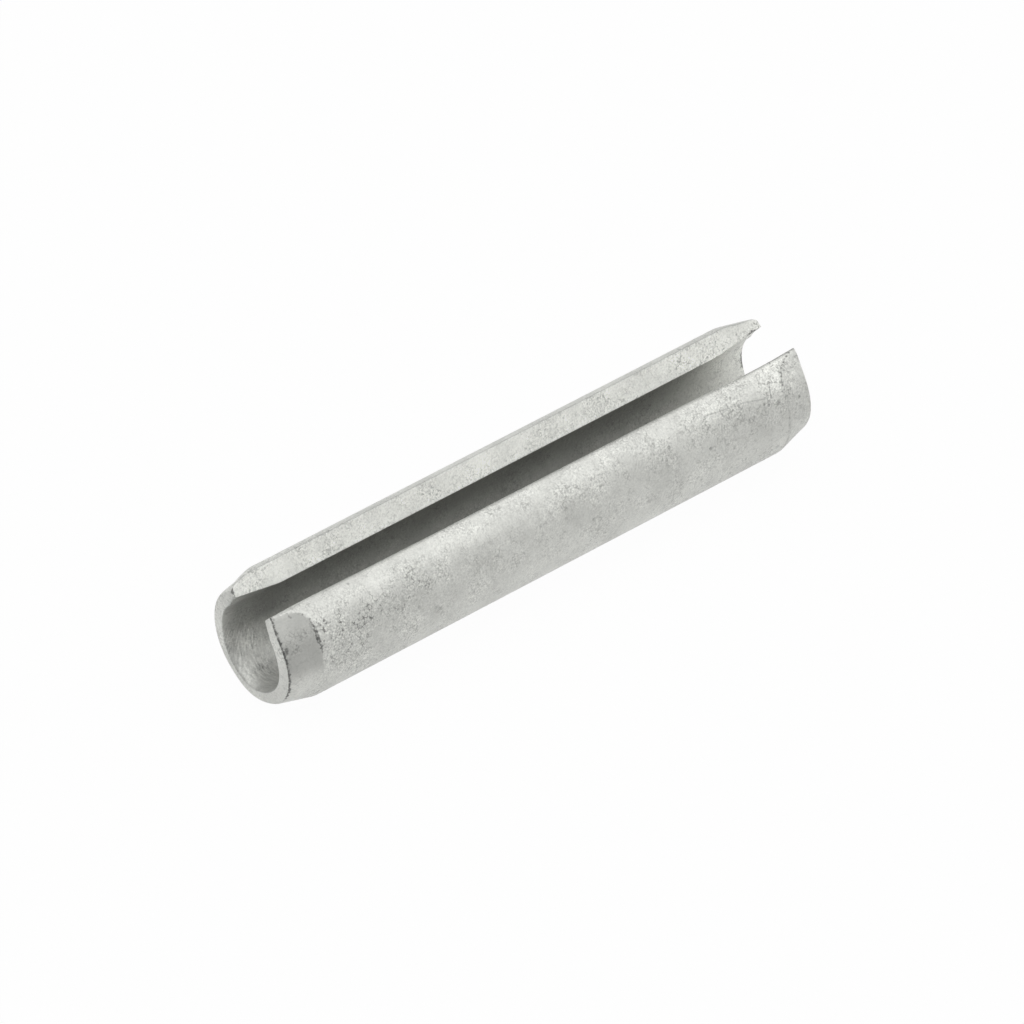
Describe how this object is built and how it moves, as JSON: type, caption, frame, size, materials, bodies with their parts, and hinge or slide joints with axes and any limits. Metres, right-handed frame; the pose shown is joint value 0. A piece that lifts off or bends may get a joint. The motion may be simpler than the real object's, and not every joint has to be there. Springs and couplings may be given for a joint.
{
  "type": "slotted spring pin",
  "caption": "Slotted spring pin: a strip of spring steel rolled into a C-shaped tube with tapered ends, pressed into a drilled hole to hold parts in line.",
  "frame": {"origin": "on the axis of the roll, half-way along the pin", "axes": "+X along the pin's axis, +Z out through the middle of the slot, +Y to the left when looking along +X"},
  "size_m": [0.04, 0.0084, 0.0079],
  "materials": {
    "zinc_plated_steel": "matt zinc plating, mottled light grey with small dark pits"
  },
  "bodies": {
    "root": {"spring_pin": "zinc_plated_steel"}
  },
  "joints": []
}
